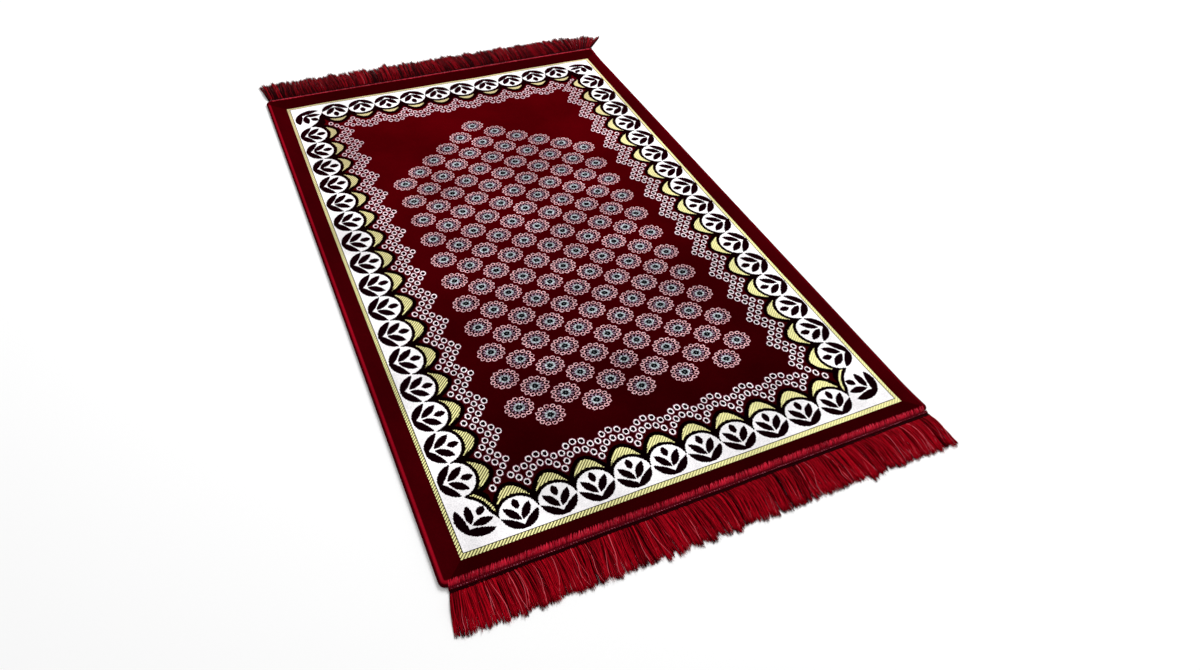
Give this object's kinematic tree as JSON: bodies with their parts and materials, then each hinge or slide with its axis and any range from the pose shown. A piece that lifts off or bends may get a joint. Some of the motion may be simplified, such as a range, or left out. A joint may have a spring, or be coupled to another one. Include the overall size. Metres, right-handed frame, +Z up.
{
  "type": "prayer rug",
  "caption": "Flat rectangular velour rug with rolled rims and a yarn fringe sewn along each short end.",
  "frame": {"origin": "middle of the cloth's underside, on the floor", "axes": "+X across the rug, +Y along it from the near fringe to the far fringe, +Z up out of the pile"},
  "size_m": [0.7086, 1.2124, 0.006],
  "materials": {
    "velour": "cut pile velour, maroon ground with a woven border and sprigs in white, black, yellow and pink",
    "fringe_yarn": "twisted filament yarn, deep red with a silky sheen"
  },
  "bodies": {
    "root": {"rug_cloth": "velour", "fringe_near": "fringe_yarn", "fringe_far": "fringe_yarn"}
  },
  "joints": []
}
